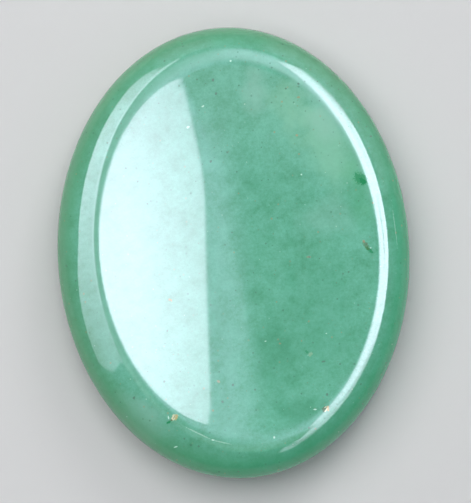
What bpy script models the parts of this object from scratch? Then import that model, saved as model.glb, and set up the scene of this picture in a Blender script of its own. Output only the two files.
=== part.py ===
"""Oval worry stone: one piece of polished green aventurine with a thumb basin ground into its top.

Metres, +Z up. X runs across the stone and Y along it. The origin is at the middle of the small flat
spot that the stone rests on, so the whole stone stands above Z = 0.

The surface is drawn as a half section, a chain of tangent arcs that starts at the flat spot, climbs
the underside, turns over the rim and its crest, and dips to the middle of the basin. Five ovals guide
that section round the stone: the flat spot, the outline, the crest's outer line, the basin's edge and
the basin's middle. The crest is broader at the stone's ends than at its sides, as the ovals say.
"""

import math
from dataclasses import dataclass

import bmesh
import bpy
from mathutils import Matrix


@dataclass(frozen=True)
class Oval:
    """An ellipse seen from above, in metres, turned counterclockwise by some degrees."""

    half_width: float
    half_length: float
    x: float = 0.0
    y: float = 0.0
    turn: float = 0.0

    def toward(self, other, share):
        """Return the oval that lies the given share of the way from this one to another."""
        return Oval(
            self.half_width + share * (other.half_width - self.half_width),
            self.half_length + share * (other.half_length - self.half_length),
            self.x + share * (other.x - self.x),
            self.y + share * (other.y - self.y),
            self.turn + share * (other.turn - self.turn),
        )


@dataclass(frozen=True)
class Arc:
    """One arc of the half section. A negative radius curves the other way, as the basin's floor does."""

    radius: float
    end_heading: float
    steps: int


# Plan of the stone. The basin sits a little off the middle and a little askew, as a hand-cut one does.
OUTLINE = Oval(0.0175, 0.0225)
FLAT_SPOT = Oval(0.0042, 0.0056)
CREST_LINE = Oval(0.01442, 0.02025, x=0.0003, turn=2.0)
BASIN_EDGE = Oval(0.01337, 0.01816, x=CREST_LINE.x, turn=CREST_LINE.turn)
BASIN_MIDDLE = Oval(0.0, 0.0, x=CREST_LINE.x, turn=CREST_LINE.turn)

# The half section. A heading is the direction of travel in degrees: 0 is outward and level, 90 is
# straight up, 180 is inward and level, and over 180 is inward and down into the basin.
FLAT_SPOT_HEADING = 2.5
UNDERSIDE = (Arc(0.1000, 8.5, 5), Arc(0.0030, 90.0, 9))
RIM = (Arc(0.00305, 146.0, 8), Arc(0.0078, 159.0, 3))
CREST = (Arc(0.0023, 196.3, 7),)
BASIN = (Arc(-0.0555, 180.0, 11),)

SEGMENTS = 96
STONE_COLOUR = (0.14, 0.46, 0.32, 1.0)
STONE_ROUGHNESS = 0.08
STONE_IOR = 1.54


def walk(arcs, heading):
    """Follow tangent arcs and return the (outward, up) travel at each step, with the last heading."""
    outward, up = 0.0, 0.0
    stops = []
    for arc in arcs:
        start = math.radians(heading)
        turn = math.radians(arc.end_heading) - start
        for step in range(1, arc.steps + 1):
            angle = start + turn * step / arc.steps
            stops.append(
                (
                    outward + arc.radius * (math.sin(angle) - math.sin(start)),
                    up + arc.radius * (math.cos(start) - math.cos(angle)),
                )
            )
        outward, up = stops[-1]
        heading = arc.end_heading
    return stops, heading


def sections():
    """Return the stone's level sections, from the flat spot to the basin's middle, as (oval, height)."""
    rings = [(FLAT_SPOT, 0.0)]
    height = 0.0
    heading = FLAT_SPOT_HEADING
    for arcs, start, end in (
        (UNDERSIDE, FLAT_SPOT, OUTLINE),
        (RIM, OUTLINE, CREST_LINE),
        (CREST, CREST_LINE, BASIN_EDGE),
        (BASIN, BASIN_EDGE, BASIN_MIDDLE),
    ):
        stops, heading = walk(arcs, heading)
        reach = stops[-1][0]
        rings += [(start.toward(end, outward / reach), height + up) for outward, up in stops]
        height = rings[-1][1]
    return rings


def add_ring(mesh, oval, height, filled=False):
    """Add one level section to the mesh and return its corners, counted round from the same side."""
    place = Matrix.Translation((oval.x, oval.y, height))
    turn = Matrix.Rotation(math.radians(oval.turn), 4, "Z")
    size = Matrix.Diagonal((oval.half_width, oval.half_length, 1.0, 1.0))
    ring = bmesh.ops.create_circle(
        mesh, cap_ends=filled, segments=SEGMENTS, radius=1.0, matrix=place @ turn @ size
    )
    return ring["verts"]


def next_round(ring):
    """Return a ring's corners again, each moved on by one."""
    return ring[1:] + ring[:1]


def stone_mesh():
    """Loft the level sections in order, from the flat spot up and over to the basin's middle."""
    mesh = bmesh.new()
    (flat_spot, floor), *upper, (middle, middle_height) = sections()
    below = add_ring(mesh, flat_spot, floor, filled=True)
    for oval, height in upper:
        above = add_ring(mesh, oval, height)
        for corners in zip(below, next_round(below), next_round(above), above):
            mesh.faces.new(corners)
        below = above
    centre = mesh.verts.new((middle.x, middle.y, middle_height))
    for corners in zip(below, next_round(below)):
        mesh.faces.new((*corners, centre))
    bmesh.ops.recalc_face_normals(mesh, faces=mesh.faces)
    stone = bpy.data.meshes.new("worry_stone")
    mesh.to_mesh(stone)
    mesh.free()
    stone.shade_smooth()
    stone.set_sharp_from_angle(angle=math.radians(30.0))
    return stone


def polished_stone():
    """Return the stone's material: glossy, milky green and a little translucent."""
    material = bpy.data.materials.new("green_aventurine")
    material.use_nodes = True
    shader = material.node_tree.nodes["Principled BSDF"]
    shader.inputs["Base Color"].default_value = STONE_COLOUR
    shader.inputs["Roughness"].default_value = STONE_ROUGHNESS
    shader.inputs["Metallic"].default_value = 0.0
    shader.inputs["IOR"].default_value = STONE_IOR
    return material


def main():
    """Clear the scene and build the stone in a collection of its own."""
    for thing in list(bpy.data.objects):
        bpy.data.objects.remove(thing, do_unlink=True)
    collection = bpy.data.collections.new("Worry stone")
    bpy.context.scene.collection.children.link(collection)
    stone = bpy.data.objects.new("worry_stone", stone_mesh())
    stone.data.materials.append(polished_stone())
    collection.objects.link(stone)


main()
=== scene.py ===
"""A green aventurine worry stone, cut as an oval with a thumb basin and polished all over.

Metres, +Z up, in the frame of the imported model: X across the stone, Y along it, the origin at the
middle of the small flat spot that it rests on.
"""

import logging
import math
from collections.abc import Iterable, Iterator
from dataclasses import dataclass
from enum import Enum
from typing import Any

import bmesh
import bpy
from mathutils import Matrix, Vector


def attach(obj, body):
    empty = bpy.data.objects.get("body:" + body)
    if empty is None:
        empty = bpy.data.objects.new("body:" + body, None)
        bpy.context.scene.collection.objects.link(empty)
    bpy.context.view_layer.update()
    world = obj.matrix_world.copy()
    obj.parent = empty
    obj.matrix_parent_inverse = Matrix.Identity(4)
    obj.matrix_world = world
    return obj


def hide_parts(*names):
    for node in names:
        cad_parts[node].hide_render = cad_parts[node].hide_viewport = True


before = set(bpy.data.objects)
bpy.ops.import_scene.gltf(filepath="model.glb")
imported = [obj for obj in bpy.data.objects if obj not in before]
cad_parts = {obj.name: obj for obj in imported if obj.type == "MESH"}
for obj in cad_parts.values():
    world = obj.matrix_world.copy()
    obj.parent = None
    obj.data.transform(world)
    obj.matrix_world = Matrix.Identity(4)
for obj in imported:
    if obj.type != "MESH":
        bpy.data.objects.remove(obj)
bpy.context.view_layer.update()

LOG = logging.getLogger("worry_stone")

STONE_NODE = "worry_stone"
STONE_BODY = "root"
MM = 0.001

Colour = tuple[float, float, float]


@dataclass(frozen=True)
class Oval:
    """An ellipse seen from above, in metres.

    Args:
        half_width: Half of its size along X.
        half_length: Half of its size along Y.
        x: Its centre along X.
        y: Its centre along Y.
        turn: How far it is turned counterclockwise, in degrees.
    """

    half_width: float
    half_length: float
    x: float = 0.0
    y: float = 0.0
    turn: float = 0.0

    def toward(self, other: "Oval", share: float) -> "Oval":
        """Find the oval part of the way to another.

        Args:
            other: The oval at the far end.
            share: How far to go, 0 to 1.

        Returns:
            The oval in between.
        """
        return Oval(
            self.half_width + share * (other.half_width - self.half_width),
            self.half_length + share * (other.half_length - self.half_length),
            self.x + share * (other.x - self.x),
            self.y + share * (other.y - self.y),
            self.turn + share * (other.turn - self.turn),
        )


@dataclass(frozen=True)
class Arc:
    """One arc of the stone's half section.

    Args:
        radius: In metres, negative where the surface is hollow.
        end_heading: Direction of travel at its end, in degrees: 0 outward, 90 up, 180 inward.
        steps: How many sections are cut along it.
    """

    radius: float
    end_heading: float
    steps: int


@dataclass(frozen=True)
class Section:
    """A level cut through the stone: an oval and its height in metres."""

    oval: Oval
    height: float


@dataclass
class StoneForm:
    """The stone's ground shape: a chain of tangent arcs carried round it between five ovals.

    Args:
        outline: The widest line, seen from above.
        flat_spot: What the stone rests on.
        crest_line: Where the rim turns over into its crest.
        basin_edge: Where the crest turns over into the thumb basin.
        basin_middle: The basin's lowest place, all but a point.
        flat_spot_heading: Direction of travel at the flat spot's edge, in degrees.
        underside: The arcs from the flat spot to the outline.
        rim: The arcs from the outline to the crest line.
        crest: The arcs from the crest line to the basin's edge.
        basin: The arcs from the basin's edge to its middle.
        segments: How many corners each level section has.
    """

    outline: Oval = Oval(0.0175, 0.0225)
    flat_spot: Oval = Oval(0.0042, 0.0056)
    crest_line: Oval = Oval(0.01442, 0.02025, x=0.0003, turn=2.0)
    basin_edge: Oval = Oval(0.01337, 0.01816, x=0.0003, turn=2.0)
    basin_middle: Oval = Oval(0.00004, 0.00004, x=0.0003, turn=2.0)
    flat_spot_heading: float = 2.5
    underside: tuple[Arc, ...] = (Arc(0.1000, 8.5, 10), Arc(0.0030, 90.0, 24))
    rim: tuple[Arc, ...] = (Arc(0.00305, 146.0, 24), Arc(0.0078, 159.0, 10))
    crest: tuple[Arc, ...] = (Arc(0.0023, 196.3, 20),)
    basin: tuple[Arc, ...] = (Arc(-0.0555, 180.0, 40),)
    segments: int = 192

    @staticmethod
    def _walk(arcs: Iterable[Arc], heading: float) -> Iterator[tuple[float, float, float]]:
        """Follow tangent arcs.

        Args:
            arcs: The arcs in order.
            heading: The direction of travel at the start, in degrees.

        Yields:
            The outward and upward travel so far and the heading, at each step.
        """
        outward, up = 0.0, 0.0
        for arc in arcs:
            start = math.radians(heading)
            turn = math.radians(arc.end_heading) - start
            for step in range(1, arc.steps + 1):
                angle = start + turn * step / arc.steps
                across = outward + arc.radius * (math.sin(angle) - math.sin(start))
                climbed = up + arc.radius * (math.cos(start) - math.cos(angle))
                yield across, climbed, math.degrees(angle)
            outward, up, heading = across, climbed, arc.end_heading

    def sections(self) -> list[Section]:
        """Cut the stone level by level, from the flat spot over the rim to the basin's middle.

        Returns:
            The sections in order.
        """
        cuts = [Section(self.flat_spot, 0.0)]
        heading = self.flat_spot_heading
        for arcs, start, end in (
            (self.underside, self.flat_spot, self.outline),
            (self.rim, self.outline, self.crest_line),
            (self.crest, self.crest_line, self.basin_edge),
            (self.basin, self.basin_edge, self.basin_middle),
        ):
            base = cuts[-1].height
            stops = list(self._walk(arcs, heading))
            reach, _, heading = stops[-1]
            cuts += [Section(start.toward(end, out / reach), base + up) for out, up, _ in stops]
        return cuts

    def build(self, name: str) -> bpy.types.Object:
        """Pull the stone up from its flat spot, ring by ring, and close both ends.

        Args:
            name: The new object's name.

        Returns:
            The stone, smooth shaded, with its origin at the world's.
        """
        first, *others = self.sections()
        bpy.ops.object.select_all(action="DESELECT")
        bpy.ops.mesh.primitive_circle_add(
            vertices=self.segments,
            radius=first.oval.half_width,
            fill_type="NGON",
            location=(first.oval.x, first.oval.y, first.height),
        )
        stone = bpy.context.object
        stone.name = name
        bpy.ops.object.mode_set(mode="EDIT")
        bpy.ops.mesh.select_mode(type="EDGE")
        bpy.ops.mesh.select_all(action="SELECT")
        bpy.ops.transform.resize(
            value=(1.0, first.oval.half_length / first.oval.half_width, 1.0),
            center_override=(first.oval.x, first.oval.y, first.height),
        )
        self._select_only_open_edges(stone)
        below = first
        for cut in others:
            bpy.ops.mesh.extrude_edges_move(
                TRANSFORM_OT_translate={
                    "value": (
                        cut.oval.x - below.oval.x,
                        cut.oval.y - below.oval.y,
                        cut.height - below.height,
                    )
                }
            )
            centre = (cut.oval.x, cut.oval.y, cut.height)
            self._turn_ring(-below.oval.turn, centre)
            bpy.ops.transform.resize(
                value=(
                    cut.oval.half_width / below.oval.half_width,
                    cut.oval.half_length / below.oval.half_length,
                    1.0,
                ),
                center_override=centre,
            )
            self._turn_ring(cut.oval.turn, centre)
            below = cut
        bpy.ops.mesh.merge(type="CENTER")
        bpy.ops.mesh.select_all(action="SELECT")
        bpy.ops.mesh.normals_make_consistent(inside=False)
        bpy.ops.object.mode_set(mode="OBJECT")
        bpy.ops.object.transform_apply(location=True, rotation=True, scale=True)
        bpy.ops.object.shade_smooth()
        return stone

    @staticmethod
    def _turn_ring(turn: float, centre: tuple[float, float, float]) -> None:
        """Turn the selected ring counterclockwise, as seen from above.

        Args:
            turn: How far, in degrees.
            centre: The point that it turns about.
        """
        bpy.ops.transform.rotate(
            value=-math.radians(turn), orient_axis="Z", center_override=centre
        )

    @staticmethod
    def _select_only_open_edges(stone: bpy.types.Object) -> None:
        """Select the edges that bound the mesh so far.

        Args:
            stone: The object in edit mode.
        """
        bpy.ops.mesh.select_all(action="DESELECT")
        mesh = bmesh.from_edit_mesh(stone.data)
        for edge in mesh.edges:
            edge.select_set(edge.is_boundary)
        mesh.select_flush(True)
        bmesh.update_edit_mesh(stone.data)


class Wire:
    """A value in a shader tree, on which arithmetic adds Math nodes."""

    def __init__(self, tree: "ShaderTree", socket: bpy.types.NodeSocket) -> None:
        """Hold an output socket and the tree that it belongs to."""
        self.tree = tree
        self.socket = socket

    def _math(self, operation: str, *values: Any) -> "Wire":
        """Add a Math node.

        Args:
            operation: The node's operation.
            values: Its inputs, numbers or wires.

        Returns:
            The node's result.
        """
        node = self.tree.node("ShaderNodeMath", {"operation": operation}, dict(enumerate(values)))
        return Wire(self.tree, node.outputs[0])

    def __add__(self, other: Any) -> "Wire":
        """Add."""
        return self._math("ADD", self, other)

    __radd__ = __add__

    def __sub__(self, other: Any) -> "Wire":
        """Subtract."""
        return self._math("SUBTRACT", self, other)

    def __rsub__(self, other: Any) -> "Wire":
        """Subtract from."""
        return self._math("SUBTRACT", other, self)

    def __mul__(self, other: Any) -> "Wire":
        """Multiply."""
        return self._math("MULTIPLY", self, other)

    __rmul__ = __mul__

    def __truediv__(self, other: Any) -> "Wire":
        """Divide."""
        return self._math("DIVIDE", self, other)

    def at_most(self, other: Any) -> "Wire":
        """Return the smaller of the two."""
        return self._math("MINIMUM", self, other)

    def over(self, threshold: Any) -> "Wire":
        """Return 1 where the value passes the threshold, else 0."""
        return self._math("GREATER_THAN", self, threshold)

    def rise(self, low: float, high: float) -> "Wire":
        """Ease from 0 to 1 between two values.

        Args:
            low: Where the result is 0.
            high: Where the result is 1; below low for a fall.

        Returns:
            The eased value.
        """
        node = self.tree.node(
            "ShaderNodeMapRange",
            {"interpolation_type": "SMOOTHSTEP"},
            {"Value": self, "From Min": min(low, high), "From Max": max(low, high)},
        )
        eased = Wire(self.tree, node.outputs["Result"])
        return eased if high > low else 1.0 - eased


class ShaderTree:
    """A material's node tree, with one way of adding nodes."""

    def __init__(self, name: str) -> None:
        """Make a material with a Principled shader of its own.

        Args:
            name: The material's name.
        """
        self.material = bpy.data.materials.new(name)
        self.material.use_nodes = True
        self.nodes = self.material.node_tree.nodes
        self.links = self.material.node_tree.links
        self.nodes.clear()
        self.shader = self.node("ShaderNodeBsdfPrincipled")
        self.node("ShaderNodeOutputMaterial", {}, {"Surface": self.shader.outputs["BSDF"]})

    def node(
        self,
        kind: str,
        settings: dict[str, Any] | None = None,
        inputs: dict[str | int, Any] | None = None,
    ) -> bpy.types.ShaderNode:
        """Add a node.

        Args:
            kind: The node's type.
            settings: Its properties, set before its inputs.
            inputs: Values, sockets or wires for its inputs, by name or number.

        Returns:
            The node.
        """
        node = self.nodes.new(kind)
        for key, value in (settings or {}).items():
            setattr(node, key, value)
        for key, value in (inputs or {}).items():
            if isinstance(value, Wire):
                value = value.socket
            if isinstance(value, bpy.types.NodeSocket):
                self.links.new(value, node.inputs[key])
            else:
                node.inputs[key].default_value = value
        return node

    def vector(self, operation: str, *values: Any) -> bpy.types.NodeSocket:
        """Add a Vector Math node and return its vector."""
        node = self.node("ShaderNodeVectorMath", {"operation": operation}, dict(enumerate(values)))
        return node.outputs["Vector"]

    def mix(self, base: Any, over: Any, share: Any) -> bpy.types.NodeSocket:
        """Lay one colour over another.

        Args:
            base: The colour underneath, a triple or a socket.
            over: The colour on top, a triple or a socket.
            share: How much of it shows.

        Returns:
            The combined colour.
        """
        under, top = [(*c, 1.0) if isinstance(c, tuple) else c for c in (base, over)]
        node = self.node("ShaderNodeMix", {"data_type": "RGBA"}, {0: share, 6: under, 7: top})
        return node.outputs[2]

    def object_place(self) -> bpy.types.NodeSocket:
        """Return the place on the object, in metres."""
        return self.node("ShaderNodeTexCoord").outputs["Object"]

    def along(self, place: bpy.types.NodeSocket, axis: str) -> Wire:
        """Return how far a place lies along one of the axes X, Y and Z."""
        return Wire(self, self.node("ShaderNodeSeparateXYZ", {}, {0: place}).outputs[axis])

    def turned(
        self,
        place: bpy.types.NodeSocket,
        turn: float,
        size: tuple[float, float, float],
        centre: tuple[float, float] = (0.0, 0.0),
    ) -> bpy.types.NodeSocket:
        """Measure a place along a turned frame about a centre.

        Args:
            place: The place.
            turn: The frame's turn about the upright axis, in degrees.
            size: The frame's unit along each of its axes.
            centre: Where it lies, across and along.

        Returns:
            The place in that frame.
        """
        node = self.node(
            "ShaderNodeMapping",
            {"vector_type": "TEXTURE"},
            {
                "Vector": place,
                "Location": (*centre, 0.0),
                "Rotation": (0.0, 0.0, math.radians(turn)),
                "Scale": size,
            },
        )
        return node.outputs["Vector"]

    def oval_distance(
        self,
        place: bpy.types.NodeSocket,
        centre: tuple[float, float],
        half_size: tuple[float, float],
        turn: float,
    ) -> Wire:
        """Measure how far out a place lies from an upright column of oval section.

        Args:
            place: The place.
            centre: The column's middle, across and along.
            half_size: Its half width and half length.
            turn: Its turn, in degrees.

        Returns:
            The distance, 1 on the column's surface.
        """
        local = self.turned(place, turn, (*half_size, 1.0), centre)
        flat = self.vector("MULTIPLY", local, (1.0, 1.0, 0.0))
        node = self.node("ShaderNodeVectorMath", {"operation": "LENGTH"}, {0: flat})
        return Wire(self, node.outputs["Value"])

    def noise(self, place: bpy.types.NodeSocket, grain: float, **choices: float) -> Wire:
        """Add a noise whose lumps are about the given size.

        Args:
            place: Where to read it.
            grain: The size of a lump, in the unit of the place.
            choices: Further inputs: Detail, Roughness or Distortion.

        Returns:
            The noise, 0 to 1 about a mean of a half.
        """
        inputs = {"Vector": place, "Scale": 1.0 / grain, **choices}
        return Wire(self, self.node("ShaderNodeTexNoise", {}, inputs).outputs["Fac"])


class InclusionKind(Enum):
    """What a foreign grain in the stone is made of, with its colour; the pale kinds also serve as
    painted glints and highlights on the polish.
    """

    PYRITE = (0.64, 0.46, 0.17)
    PALE_PYRITE_AND_GLINT = (0.84, 0.80, 0.55)
    FUCHSITE = (0.008, 0.270, 0.092)
    OLIVE_MICA = (0.10, 0.15, 0.045)
    DARK_GRAIN = (0.045, 0.14, 0.095)
    RUST = (0.42, 0.26, 0.13)
    QUARTZ_AND_GLINT = (0.62, 0.90, 0.80)


@dataclass(frozen=True)
class Inclusion:
    """A grain that shows in the polished top, placed in millimetres across and along the stone.

    Args:
        kind: What it is made of.
        x: Place across the stone.
        y: Place along the stone.
        size: Its half length.
        slimness: Its half width over its half length.
        turn: Angle of its long side from +X, in degrees.
        strength: How fully it covers the stone round it.
    """

    kind: InclusionKind
    x: float
    y: float
    size: float
    slimness: float = 1.0
    turn: float = 0.0
    strength: float = 0.8


def inclusions() -> list[Inclusion]:
    """List the grains that can be told apart by eye, and the glints and thin bright lines painted
    in as pale grains.

    Returns:
        The grains, in the order in which they are set.
    """
    kinds = InclusionKind
    return [
        Inclusion(kinds.FUCHSITE, 12.77, 6.30, 0.80, 0.70, -42, 0.72),
        Inclusion(kinds.FUCHSITE, 12.95, 6.02, 0.44, 0.60, -50, 0.80),
        Inclusion(kinds.FUCHSITE, 13.20, -0.76, 0.52, 0.36, -46, 0.70),
        Inclusion(kinds.OLIVE_MICA, 12.92, -0.30, 0.58, 0.42, -62, 0.55),
        Inclusion(kinds.RUST, 12.74, 0.12, 0.19, 0.7, -50, 0.55),
        Inclusion(kinds.QUARTZ_AND_GLINT, 13.36, -0.60, 0.09, 0.8, 0, 0.70),
        Inclusion(kinds.FUCHSITE, -7.47, -16.78, 0.26, 0.45, 28, 0.90),
        Inclusion(kinds.PYRITE, -6.70, -16.32, 0.34, 0.45, 65, 0.75),
        # Pale facets on the pyrite: partly the grain's own pale brass, partly painted glint.
        Inclusion(kinds.PALE_PYRITE_AND_GLINT, -6.98, -16.38, 0.38, 0.45, 70, 0.80),
        Inclusion(kinds.OLIVE_MICA, -6.90, -16.30, 0.20, 0.28, 60, 0.60),
        Inclusion(kinds.OLIVE_MICA, -7.20, -16.62, 0.13, 0.7, 0, 0.85),
        # Painted glint: a slim white highlight beside the pyrite grain.
        Inclusion(kinds.QUARTZ_AND_GLINT, -7.48, -16.34, 0.16, 0.35, 100, 0.90),
        Inclusion(kinds.OLIVE_MICA, 7.85, -16.30, 0.34, 0.60, 70, 0.75),
        Inclusion(kinds.PYRITE, 8.20, -16.26, 0.28, 0.55, 80, 0.85),
        # Pale facets on the pyrite: partly the grain's own pale brass, partly painted glint.
        Inclusion(kinds.PALE_PYRITE_AND_GLINT, 8.04, -16.40, 0.26, 0.30, 50, 0.90),
        Inclusion(kinds.PALE_PYRITE_AND_GLINT, 7.96, -16.12, 0.12, 0.40, 30, 0.80),
        # Painted glint: a white highlight beside the pyrite grain.
        Inclusion(kinds.QUARTZ_AND_GLINT, 6.95, -16.28, 0.20, 0.35, 0, 0.85),
        Inclusion(kinds.FUCHSITE, 6.54, -10.50, 0.24, 0.6, -45, 0.55),
        Inclusion(kinds.PALE_PYRITE_AND_GLINT, 6.88, -10.76, 0.24, 0.8, 30, 0.18),
        Inclusion(kinds.RUST, 7.30, -1.06, 0.22, 0.6, 0, 0.40),
        Inclusion(kinds.DARK_GRAIN, 7.34, -1.06, 0.09),
        Inclusion(kinds.RUST, -6.61, -4.65, 0.24, 0.5, -30, 0.8),
        # Painted highlights: white glints and thin bright lines along the bottom crest and the
        # right rim, laid in as pale grains.
        Inclusion(kinds.QUARTZ_AND_GLINT, -6.90, -19.20, 0.22, 0.30, 15, 0.80),
        Inclusion(kinds.QUARTZ_AND_GLINT, -3.24, -18.77, 0.16, 0.45, -10, 0.90),
        Inclusion(kinds.QUARTZ_AND_GLINT, -4.60, -18.06, 1.30, 0.050, -29, 0.38),
        Inclusion(kinds.QUARTZ_AND_GLINT, -2.40, -19.02, 0.95, 0.060, -16, 0.34),
        Inclusion(kinds.QUARTZ_AND_GLINT, 15.93, 1.45, 2.10, 0.022, -86, 0.30),
        Inclusion(kinds.DARK_GRAIN, -10.74, -14.18, 0.13),
        Inclusion(kinds.DARK_GRAIN, 14.09, 10.58, 0.12),
        Inclusion(kinds.RUST, 6.75, 11.04, 0.14, 0.8, 0, 0.6),
        Inclusion(kinds.RUST, 7.07, 14.72, 0.17, 0.7, 0, 0.5),
        Inclusion(kinds.DARK_GRAIN, 7.12, 16.03, 0.12),
        Inclusion(kinds.QUARTZ_AND_GLINT, 7.02, 7.15, 0.09),
        Inclusion(kinds.DARK_GRAIN, -0.95, -13.39, 0.13),
        Inclusion(kinds.DARK_GRAIN, -2.06, -15.03, 0.14),
        Inclusion(kinds.RUST, -2.34, -12.98, 0.18, 0.8, 0, 0.6),
        Inclusion(kinds.DARK_GRAIN, -7.08, -7.71, 0.11),
        Inclusion(kinds.DARK_GRAIN, -7.69, -12.74, 0.12),
        Inclusion(kinds.QUARTZ_AND_GLINT, 2.54, -9.19, 0.10, 0.7, 0, 0.65),
        Inclusion(kinds.RUST, 3.95, -9.49, 0.11, 0.8, 0, 0.5),
        Inclusion(kinds.QUARTZ_AND_GLINT, 8.55, -8.78, 0.09, 0.7, 0, 0.65),
        Inclusion(kinds.DARK_GRAIN, 8.07, -11.56, 0.20, 0.4, 0),
        Inclusion(kinds.DARK_GRAIN, 8.24, -14.88, 0.14),
        Inclusion(kinds.DARK_GRAIN, 6.26, -18.04, 0.12),
        Inclusion(kinds.QUARTZ_AND_GLINT, 2.77, -18.81, 0.11),
        Inclusion(kinds.QUARTZ_AND_GLINT, 0.53, 18.63, 0.10),
        Inclusion(kinds.QUARTZ_AND_GLINT, -3.98, 12.38, 0.15),
        Inclusion(kinds.QUARTZ_AND_GLINT, -2.42, 14.35, 0.17, 0.5, 30),
        Inclusion(kinds.DARK_GRAIN, -1.27, 16.87, 0.14),
        Inclusion(kinds.DARK_GRAIN, -1.05, 15.55, 0.12),
        Inclusion(kinds.DARK_GRAIN, -1.88, 8.94, 0.12),
        Inclusion(kinds.DARK_GRAIN, -10.36, 8.51, 0.11),
        Inclusion(kinds.DARK_GRAIN, -8.39, 4.96, 0.10),
    ]


@dataclass(frozen=True)
class Speckle:
    """A scatter of small dots through the whole stone.

    Args:
        colour: The dots' colour.
        spacing: Mean distance between the places where a dot may be, in millimetres.
        size: Half width of the largest dots, in millimetres.
        share: How many of those places hold a dot, 0 to 1.
        strength: How fully a dot covers the stone.
        seed: Shift of the pattern, in millimetres.
        pitting: How much rougher the polish is on a dot.
    """

    colour: Colour
    spacing: float
    size: float
    share: float
    strength: float
    seed: float
    pitting: float


@dataclass(frozen=True)
class Cloud:
    """A patch of colour in the quartz, placed in millimetres across and along the stone; the pale
    milky patches are partly painted reflection.

    Args:
        x: Place across the stone.
        y: Place along the stone.
        half_width: Half of its size across.
        half_length: Half of its size along.
        turn: How far it is turned counterclockwise, in degrees.
        strength: How far it covers the green.
        colour: Its own colour.
    """

    x: float
    y: float
    half_width: float
    half_length: float
    turn: float
    strength: float
    colour: Colour


# Pale milky colours: partly the quartz's own milkiness, partly a painted reflection of soft light
# on the polish.
MILKY_SHEEN: Colour = (0.285, 0.580, 0.475)
GREEN_MILKY_SHEEN: Colour = (0.236, 0.578, 0.402)
SHADE: Colour = (0.045, 0.270, 0.140)
LEAF: Colour = (0.080, 0.430, 0.205)


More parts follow.
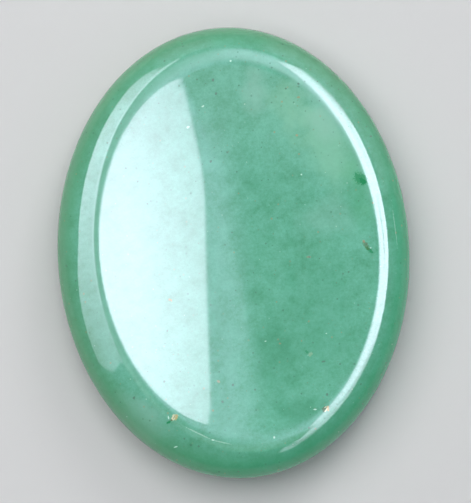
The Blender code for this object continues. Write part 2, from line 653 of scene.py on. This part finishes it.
@dataclass(frozen=True)
class AventurineFinish:
    """Milky green quartz with a wet polish: soft clouds, fine mottling and scattered grains, with
    painted shade along the rim and painted highlights on the crest, some clouds and some grains.

    Args:
        deep: The quartz where it is clearest.
        milky: The quartz where it is cloudiest.
        upper_left_rim_shade: The colour of the painted shade along the edge at the upper left.
        lower_right_rim_shade: The same painted shade at the lower right.
        outline: The stone's half width and half length, in millimetres.
        clouds: The patches, in the order in which they are laid.
        crest: The highest line of the rim, in millimetres.
        pitted: The kinds of grain that took a poorer polish.
        pit_roughness: How much rougher they are.
        top_side: Height above which the grains and the painted highlight on the crest show, in
            millimetres.
        roughness: That of the polish.
        ior: The quartz's refractive index.
        subsurface: How much of the light is scattered in the quartz.
        depth: How far red, green and blue light go in it, against each other.
        depth_scale: The farthest of them, in metres.
        speckles: The scatters of small dots.
    """

    deep: Colour = (0.090, 0.350, 0.212)
    milky: Colour = (0.170, 0.520, 0.382)
    # Colours of the painted shade that deepens the rim.
    upper_left_rim_shade: Colour = (0.092, 0.326, 0.148)
    lower_right_rim_shade: Colour = (0.030, 0.400, 0.170)
    outline: tuple[float, float] = (17.5, 22.5)
    clouds: tuple[Cloud, ...] = (
        # The pale milky clouds are partly painted reflection laid into the colour, the largest
        # toward the upper right.
        Cloud(2.9, 15.6, 1.4, 2.4, 0.0, 0.50, MILKY_SHEEN),
        Cloud(9.3, 10.4, 2.6, 6.6, 30.0, 0.66, GREEN_MILKY_SHEEN),
        Cloud(6.2, 13.9, 3.6, 1.5, -35.0, 0.36, GREEN_MILKY_SHEEN),
        Cloud(9.4, 2.6, 3.0, 2.2, 0.0, 0.30, MILKY_SHEEN),
        Cloud(9.0, 14.6, 3.0, 1.2, -40.0, 0.35, MILKY_SHEEN),
        Cloud(9.4, 12.2, 2.2, 1.6, -35.0, 0.40, MILKY_SHEEN),
        Cloud(-10.4, -16.8, 3.4, 2.2, -45.0, 0.60, MILKY_SHEEN),
        Cloud(12.3, 5.4, 1.3, 4.4, 8.0, 0.30, LEAF),
        Cloud(7.4, -7.6, 4.4, 6.0, -10.0, 0.29, SHADE),
        Cloud(3.4, -11.4, 2.4, 4.4, 0.0, 0.30, SHADE),
        Cloud(1.2, -2.2, 2.2, 4.2, 0.0, 0.06, SHADE),
        Cloud(5.8, -16.2, 2.6, 1.6, 20.0, 0.40, SHADE),
    )
    crest: Oval = Oval(13.95, 19.30, x=0.3, turn=2.0)
    pitted: tuple[InclusionKind, ...] = (InclusionKind.DARK_GRAIN, InclusionKind.RUST)
    pit_roughness: float = 0.4
    top_side: float = 4.0
    roughness: float = 0.035
    ior: float = 1.54
    subsurface: float = 0.25
    depth: Colour = (0.6, 1.0, 0.8)
    depth_scale: float = 0.0012
    speckles: tuple[Speckle, ...] = (
        Speckle((0.030, 0.11, 0.065), 0.66, 0.135, 0.36, 0.75, 0.0, 0.45),
        Speckle((0.40, 0.27, 0.14), 0.76, 0.145, 0.28, 0.58, 31.0, 0.20),
        # Pale dots: painted glints, the sparkle of small mica flakes laid into the colour.
        Speckle((0.62, 0.90, 0.80), 0.70, 0.080, 0.32, 0.55, 57.0, 0.0),
        Speckle((0.15, 0.20, 0.09), 0.50, 0.095, 0.34, 0.55, 83.0, 0.55),
    )

    def material(self, name: str) -> bpy.types.Material:
        """Mix the stone's material.

        Args:
            name: The material's name.

        Returns:
            The material.
        """
        tree = ShaderTree(name)
        place = tree.vector("MULTIPLY", tree.object_place(), (1.0 / MM,) * 3)
        colour = self._ground(tree, place)
        for cloud in self.clouds:
            colour = self._cloud_over(tree, place, colour, cloud)
        colour = self._paint_rim_shade(tree, place, colour)
        colour = self._paint_crest_light(tree, place, colour)
        roughness: Wire | float = self.roughness
        for speckle in self.speckles:
            colour, shown = self._scatter(tree, place, colour, speckle)
            roughness = shown * speckle.pitting + roughness
        for grain in inclusions():
            colour, shown = self._set_grain(tree, place, colour, grain)
            if grain.kind in self.pitted:
                roughness = shown * self.pit_roughness + roughness
        shader = tree.shader
        tree.links.new(colour, shader.inputs["Base Color"])
        tree.links.new(roughness.socket, shader.inputs["Roughness"])
        shader.inputs["IOR"].default_value = self.ior
        shader.inputs["Subsurface Weight"].default_value = self.subsurface
        shader.inputs["Subsurface Radius"].default_value = self.depth
        shader.inputs["Subsurface Scale"].default_value = self.depth_scale
        return tree.material

    def _ground(self, tree: ShaderTree, place: bpy.types.NodeSocket) -> bpy.types.NodeSocket:
        """Paint the quartz itself, without its grains.

        Args:
            tree: The tree to add to.
            place: The place in millimetres.

        Returns:
            The quartz's colour.
        """
        broad = tree.noise(place, 12.0, Detail=1.0, Distortion=0.4)
        wisps = tree.noise(tree.turned(place, 40.0, (3.2, 1.1, 2.0)), 1.0, Detail=3.0)
        mottle = tree.noise(place, 2.6, Detail=5.0, Roughness=0.95)
        tone = 0.5 + (broad - 0.5) * 0.6 + (wisps - 0.5) * 0.7 + (mottle - 0.5) * 2.6
        return tree.mix(self.deep, self.milky, tone)

    def _cloud_over(
        self,
        tree: ShaderTree,
        place: bpy.types.NodeSocket,
        colour: bpy.types.NodeSocket,
        cloud: Cloud,
    ) -> bpy.types.NodeSocket:
        """Lay a patch over a colour.

        Args:
            tree: The tree to add to.
            place: The place in millimetres.
            colour: The colour underneath.
            cloud: The patch.

        Returns:
            The clouded colour.
        """
        away = tree.oval_distance(
            place, (cloud.x, cloud.y), (cloud.half_width, cloud.half_length), cloud.turn
        )
        ragged = away + (tree.noise(place, 2.2, Detail=3.0) - 0.5) * 1.4
        return tree.mix(colour, cloud.colour, ragged.rise(1.35, 0.25) * cloud.strength)

    def _paint_rim_shade(
        self, tree: ShaderTree, place: bpy.types.NodeSocket, colour: bpy.types.NodeSocket
    ) -> bpy.types.NodeSocket:
        """Paint shade into a colour: turn it deeper toward the stone's edge, as painted shade on
        the rim.

        Args:
            tree: The tree to add to.
            place: The place in millimetres.
            colour: The colour underneath.

        Returns:
            The colour with the painted shade along its edge.
        """
        out = tree.oval_distance(place, (0.0, 0.0), self.outline, 0.0)
        lower_right = tree.along(place, "X") * 0.85 - tree.along(place, "Y") * 0.5
        # edge is the painted shade's colour: deeper at the upper left, greener at the lower right.
        edge = tree.mix(self.upper_left_rim_shade, self.lower_right_rim_shade, lower_right.rise(-2.0, 14.0))
        # Painted shade: the green is darkened toward the outline, standing in for shade on the
        # steep edge.
        return tree.mix(colour, edge, out.rise(0.84, 1.0) * 0.8)

    def _paint_crest_light(
        self, tree: ShaderTree, place: bpy.types.NodeSocket, colour: bpy.types.NodeSocket
    ) -> bpy.types.NodeSocket:
        """Paint light into a colour: a paler, milkier band along the crest's upper left part, a
        painted highlight where light enters both faces.

        Args:
            tree: The tree to add to.
            place: The place in millimetres.
            colour: The colour underneath.

        Returns:
            The colour with the painted highlight along its crest.
        """
        half_size = (self.crest.half_width, self.crest.half_length)
        out = tree.oval_distance(place, (self.crest.x, self.crest.y), half_size, self.crest.turn)
        upper_left = tree.along(place, "Y") * 0.8 - tree.along(place, "X") * 0.6
        upper = tree.along(place, "Z").over(self.top_side)
        # ring is the band of painted highlight along the crest, on the top side only.
        ring = out.rise(0.955, 0.99) * out.rise(1.045, 1.01) * upper
        return tree.mix(colour, MILKY_SHEEN, ring * upper_left.rise(-9.0, 3.0) * 0.45)

    @staticmethod
    def _scatter(
        tree: ShaderTree,
        place: bpy.types.NodeSocket,
        colour: bpy.types.NodeSocket,
        speckle: Speckle,
    ) -> tuple[bpy.types.NodeSocket, Wire]:
        """Scatter one kind of dot over a colour.

        Args:
            tree: The tree to add to.
            place: The place in millimetres.
            colour: The colour underneath.
            speckle: The kind of dot.

        Returns:
            The dotted colour, and how fully a dot shows.
        """
        shifted = tree.vector("ADD", place, (speckle.seed,) * 3)
        cells = tree.node(
            "ShaderNodeTexVoronoi", {}, {"Vector": shifted, "Scale": 1.0 / speckle.spacing}
        )
        chance = tree.node("ShaderNodeSeparateColor", {}, {"Color": cells.outputs["Color"]})
        picked = Wire(tree, chance.outputs["Red"]).over(1.0 - speckle.share)
        grow = Wire(tree, chance.outputs["Green"]) * 0.6 + 0.4
        reach = Wire(tree, cells.outputs["Distance"]) * speckle.spacing / (grow * speckle.size)
        faint = Wire(tree, chance.outputs["Blue"]) * 0.7 + 0.3
        shown = reach.rise(1.15, 0.45) * picked * faint * speckle.strength
        return tree.mix(colour, speckle.colour, shown), shown

    def _set_grain(
        self,
        tree: ShaderTree,
        place: bpy.types.NodeSocket,
        colour: bpy.types.NodeSocket,
        grain: Inclusion,
    ) -> tuple[bpy.types.NodeSocket, Wire]:
        """Set one named grain into a colour, on the top side only.

        Args:
            tree: The tree to add to.
            place: The place in millimetres.
            colour: The colour underneath.
            grain: The grain.

        Returns:
            The colour with the grain in it, and how fully the grain shows.
        """
        away = tree.oval_distance(
            place, (grain.x, grain.y), (grain.size, grain.size * grain.slimness), grain.turn
        )
        ragged = away + (tree.noise(place, 0.16, Detail=2.0) - 0.5) * 1.5
        upper = tree.along(place, "Z").over(self.top_side)
        shown = ragged.rise(1.15, 0.65) * upper * grain.strength
        return tree.mix(colour, grain.kind.value, shown), shown


@dataclass(frozen=True)
class Bearing:
    """Where a light panel hangs, as seen from the stone.

    Args:
        azimuth: Its direction in degrees from +X towards +Y.
        polar: Its direction from straight up, in degrees.
        turn: Its turn in its own plane, in degrees.
    """

    azimuth: float
    polar: float
    turn: float = 0.0


RIGHT_SIDE = Bearing(-2.3, 36.0, 6.0)
LEFT_SIDE = Bearing(157.5, 48.0, 10.0)


@dataclass(frozen=True)
class Panel:
    """A soft light panel that shows only as a reflection in the polish.

    Args:
        name: What it is called.
        bearing: Where it hangs.
        corners: Its outline counterclockwise, in metres down its slope and across that.
        level: Its brightness in the middle.
        tint: Its colour.
        bright_row: How far across it is brightest, in metres.
        fall_off: How far across from there its brightness is half, in metres.
        lean: How much brighter it grows down its slope, as a share for each metre.
        ceiling: The most that this makes of its level, as a share.
        softness: The width of its fading edge, in metres.
        distance: How far from the stone it hangs, in metres.
    """

    name: str
    bearing: Bearing
    corners: tuple[tuple[float, float], ...]
    level: float
    tint: Colour = (0.80, 0.82, 1.0)
    bright_row: float = 0.0
    fall_off: float = 10.0
    lean: float = 0.0
    ceiling: float = 10.0
    softness: float = 0.007
    distance: float = 0.40

    def build(self, aim: Vector) -> bpy.types.Object:
        """Hang the panel, facing the stone.

        Args:
            aim: The point that it faces.

        Returns:
            The panel.
        """
        azimuth = math.radians(self.bearing.azimuth)
        polar = math.radians(self.bearing.polar)
        turn = math.radians(self.bearing.turn)
        away = Vector(
            (
                math.sin(polar) * math.cos(azimuth),
                math.sin(polar) * math.sin(azimuth),
                math.cos(polar),
            )
        )
        down = Vector(
            (
                math.cos(polar) * math.cos(azimuth),
                math.cos(polar) * math.sin(azimuth),
                -math.sin(polar),
            )
        )
        across = away.cross(down)
        slope = down * math.cos(turn) + across * math.sin(turn)
        side = across * math.cos(turn) - down * math.sin(turn)
        reach = max(abs(measure) for corner in self.corners for measure in corner)
        bpy.ops.object.select_all(action="DESELECT")
        bpy.ops.mesh.primitive_plane_add(size=2.0 * (reach + self.softness))
        panel = bpy.context.object
        panel.name = self.name
        panel.matrix_world = Matrix.Translation(aim + away * self.distance) @ (
            Matrix((slope, side, away)).transposed().to_4x4()
        )
        panel.data.materials.append(self._glow())
        panel.visible_camera = False
        panel.visible_diffuse = False
        panel.visible_shadow = False
        return panel

    def _glow(self) -> bpy.types.Material:
        """Make the panel's light, which fades at its outline and is clear outside it.

        Returns:
            The panel's material.
        """
        tree = ShaderTree(self.name)
        place = tree.object_place()
        down = tree.along(place, "X")
        across = tree.along(place, "Y")
        cover = 1.0
        for here, there in zip(self.corners, self.corners[1:] + self.corners[:1]):
            edge = Vector(there) - Vector(here)
            inward = Vector((-edge.y, edge.x)).normalized()
            depth = down * inward.x + across * inward.y - inward.dot(Vector(here))
            cover = depth.rise(-0.5 * self.softness, 0.5 * self.softness) * cover
        off = (across - self.bright_row) * (1.0 / self.fall_off)
        glow = (1.0 + down * self.lean).at_most(self.ceiling) / (1.0 + off * off)
        shader = tree.shader
        tree.links.new(tree.vector("MULTIPLY", self.tint, glow), shader.inputs["Emission Color"])
        tree.links.new(cover.socket, shader.inputs["Alpha"])
        shader.inputs["Emission Strength"].default_value = self.level
        shader.inputs["Base Color"].default_value = (0.0, 0.0, 0.0, 1.0)
        shader.inputs["Specular IOR Level"].default_value = 0.0
        return tree.material


@dataclass(frozen=True)
class Lamp:
    """A soft square lamp that lights the stone without showing in its polish.

    Args:
        name: What it is called.
        place: Where it hangs from the stone's middle, in metres.
        size: Its side, in metres.
        power: In watts.
    """

    name: str
    place: tuple[float, float, float]
    size: float
    power: float

    def build(self, aim: Vector) -> None:
        """Hang the lamp.

        Args:
            aim: The point that it shines on.
        """
        away = Vector(self.place)
        bpy.ops.object.light_add(type="AREA", location=aim + away)
        lamp = bpy.context.object
        lamp.name = self.name
        lamp.rotation_mode = "QUATERNION"
        lamp.rotation_quaternion = away.to_track_quat("Z", "Y")
        lamp.data.shape = "SQUARE"
        lamp.data.size = self.size
        lamp.data.energy = self.power
        lamp.visible_glossy = False


@dataclass
class Studio:
    """The pale floor, the soft lights and the camera.

    Args:
        image_width: Columns of the picture.
        image_height: Rows of the picture.
        equator: Height of the stone's widest line, in metres.
        lean_x: How far the view leans along X, for 1 upward.
        lean_y: How far it leans along Y.
        roll: The camera's turn about its line of sight, in degrees.
        pixels_per_metre: The picture's scale at the stone.
        stone_pixel: Column and row of the stone's middle.
        camera_distance: From the stone's middle, in metres.
        camera_reach: How far the camera sees, in metres.
        sensor: The sensor's width, in millimetres.
        floor_size: The floor's side, in metres.
        floor_colour: Its colour.
        floor_roughness: Its roughness.
        floor_sheen: The weight of its reflections.
        sky: The light of the room.
        lamps: The lamps.
        panels: The light panels, the nearest first where they overlap.
    """

    image_width: int = 471
    image_height: int = 503
    equator: float = 0.00397
    lean_x: float = -0.053
    lean_y: float = -0.101
    roll: float = -3.15
    pixels_per_metre: float = 10071.0
    stone_pixel: tuple[float, float] = (233.8, 251.93)
    camera_distance: float = 0.45
    camera_reach: float = 20.0
    sensor: float = 36.0
    floor_size: float = 6.0
    floor_colour: Colour = (0.62, 0.62, 0.615)
    floor_roughness: float = 0.9
    floor_sheen: float = 0.1
    sky: Colour = (0.27, 0.28, 0.30)
    lamps: tuple[Lamp, ...] = (
        Lamp("overhead_lamp", (-0.12, 0.10, 0.45), size=0.50, power=2.00),
        Lamp("side_lamp", (0.17, 0.28, 0.26), size=0.16, power=0.40),
    )
    panels: tuple[Panel, ...] = (
        Panel(
            "right_softbox",
            RIGHT_SIDE,
            corners=(
                (-0.194, 0.012),
                (-0.191, -0.028),
                (-0.179, -0.056),
                (-0.168, -0.094),
                (0.143, -0.094),
                (0.147, -0.080),
                (0.170, 0.470),
                (-0.144, 0.240),
                (-0.155, 0.210),
                (-0.171, 0.135),
                (-0.188, 0.057),
            ),
            level=20.4,
            bright_row=0.062,
            fall_off=0.312,
            lean=2.30,
            ceiling=0.90,
            softness=0.015,
        ),
        Panel(
            "right_tail",
            RIGHT_SIDE,
            corners=(
                (-0.140, -0.085),
                (-0.140, -0.120),
                (-0.060, -0.640),
                (0.010, -0.590),
                (0.105, -0.259),
                (0.136, -0.150),
                (0.149, -0.085),
            ),
            level=13.2,
            bright_row=0.062,
            fall_off=0.400,
            distance=0.401,
        ),
        Panel(
            "right_corner",
            RIGHT_SIDE,
            corners=(
                (0.120, 0.300),
                (0.170, 0.262),
                (0.222, 0.470),
                (0.120, 0.420),
            ),
            level=15.0,
            bright_row=0.062,
            fall_off=0.270,
            distance=0.401,
        ),
        Panel(
            "left_softbox",
            LEFT_SIDE,
            corners=(
                (-0.084, 0.060),
                (-0.140, -0.290),
                (0.000, -0.285),
                (0.060, -0.270),
                (0.094, -0.230),
                (0.087, -0.110),
                (0.050, 0.060),
            ),
            level=10.4,
            bright_row=-0.054,
            fall_off=0.213,
        ),
        Panel(
            "left_tail",
            LEFT_SIDE,
            corners=(
                (-0.084, 0.050),
                (0.043, 0.050),
                (0.134, 0.300),
                (0.005, 0.278),
                (-0.095, 0.215),
            ),
            level=10.4,
            bright_row=-0.054,
            fall_off=0.213,
            distance=0.401,
        ),
        Panel(
            "left_crown",
            LEFT_SIDE,
            corners=(
                (-0.128, -0.078),
                (-0.225, -0.190),
                (-0.130, -0.284),
                (-0.020, -0.284),
                (-0.060, -0.078),
            ),
            level=10.4,
            bright_row=-0.054,
            fall_off=0.213,
            softness=0.020,
            distance=0.402,
        ),
        Panel(
            "north_glow",
            Bearing(90.0, 30.0),
            corners=(
                (-0.700, -0.500),
                (-0.150, -0.500),
                (-0.150, -0.100),
                (-0.035, 0.055),
                (-0.280, -0.035),
                (-0.700, -0.045),
            ),
            level=2.2,
            tint=(0.72, 0.83, 1.0),
            softness=0.022,
            distance=0.80,
        ),
        Panel(
            "right_spill",
            RIGHT_SIDE,
            corners=((-0.264, 0.33), (-0.264, -0.11), (0.0, -0.11), (0.0, 0.33)),
            level=3.8,
            tint=(0.66, 0.78, 1.0),
            softness=0.12,
            distance=0.42,
        ),
        Panel(
            "south_glow",
            Bearing(-100.0, 30.0),
            corners=((-0.170, -0.25), (-0.050, -0.25), (-0.050, 0.25), (-0.170, 0.25)),
            level=1.0,
            tint=(0.98, 0.92, 0.95),
            softness=0.11,
            distance=0.43,
        ),
        Panel(
            "north_window",
            Bearing(103.0, 62.0),
            corners=((-0.180, -0.080), (0.180, -0.080), (0.180, 0.100), (-0.180, 0.100)),
            level=1.1,
            tint=(0.95, 0.75, 1.0),
            softness=0.070,
            distance=0.45,
        ),
        Panel(
            "east_window",
            Bearing(44.0, 78.0),
            corners=((-0.150, -0.220), (0.130, -0.220), (0.130, 0.200), (-0.150, 0.200)),
            level=1.3,
            tint=(0.88, 0.85, 0.95),
            softness=0.090,
            distance=0.45,
        ),
    )

    def build(self) -> None:
        """Set everything up round the stone."""
        aim = Vector((0.0, 0.0, self.equator))
        self._floor()
        self._sky()
        for lamp in self.lamps:
            lamp.build(aim)
        for panel in self.panels:
            made = panel.build(aim)
            LOG.info("stage %s", made.name)
        self._camera(aim)

    def _floor(self) -> None:
        """Lay a plain pale floor under the stone."""
        bpy.ops.object.select_all(action="DESELECT")
        bpy.ops.mesh.primitive_plane_add(size=self.floor_size)
        floor = bpy.context.object
        floor.name = "floor"
        tree = ShaderTree("pale_floor")
        tree.shader.inputs["Base Color"].default_value = (*self.floor_colour, 1.0)
        tree.shader.inputs["Roughness"].default_value = self.floor_roughness
        tree.shader.inputs["Specular IOR Level"].default_value = self.floor_sheen
        floor.data.materials.append(tree.material)
        LOG.info("stage %s", floor.name)

    def _sky(self) -> None:
        """Fill the room with even, pale light."""
        world = bpy.data.worlds.new("room")
        world.use_nodes = True
        background = world.node_tree.nodes["Background"]
        background.inputs["Color"].default_value = (*self.sky, 1.0)
        background.inputs["Strength"].default_value = 1.0
        bpy.context.scene.world = world

    def _camera(self, aim: Vector) -> None:
        """Place the camera that looks down on the stone with a slight lean.

        Args:
            aim: The stone's middle.
        """
        toward = Vector((self.lean_x, self.lean_y, 1.0)).normalized()
        level = Vector((0.0, 1.0, 0.0)).cross(toward).normalized()
        upright = toward.cross(level)
        roll = math.radians(self.roll)
        right = level * math.cos(roll) + upright * math.sin(roll)
        up = upright * math.cos(roll) - level * math.sin(roll)
        column, row = self.stone_pixel
        shift = right * (self.image_width / 2 - column) + up * (row - self.image_height / 2)
        place = aim + toward * self.camera_distance + shift / self.pixels_per_metre
        bpy.ops.object.camera_add()
        camera = bpy.context.object
        camera.name = "camera"
        camera.matrix_world = Matrix.Translation(place) @ (
            Matrix((right, up, toward)).transposed().to_4x4()
        )
        camera.data.sensor_width = self.sensor
        focal_pixels = self.pixels_per_metre * self.camera_distance
        camera.data.lens = focal_pixels * self.sensor / max(self.image_width, self.image_height)
        camera.data.clip_end = self.camera_reach
        bpy.context.scene.camera = camera


def main() -> None:
    """Build the stone and the studio."""
    logging.basicConfig(level=logging.INFO, format="%(name)s: %(message)s")
    stone = StoneForm().build("polished_worry_stone")
    stone.data.materials.append(AventurineFinish().material("green_aventurine"))
    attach(stone, STONE_BODY)
    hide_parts(STONE_NODE)
    LOG.info("piece %s, %d faces", stone.name, len(stone.data.polygons))
    Studio().build()
    bpy.context.scene.view_settings.view_transform = "Standard"


if __name__ == "__main__":
    main()
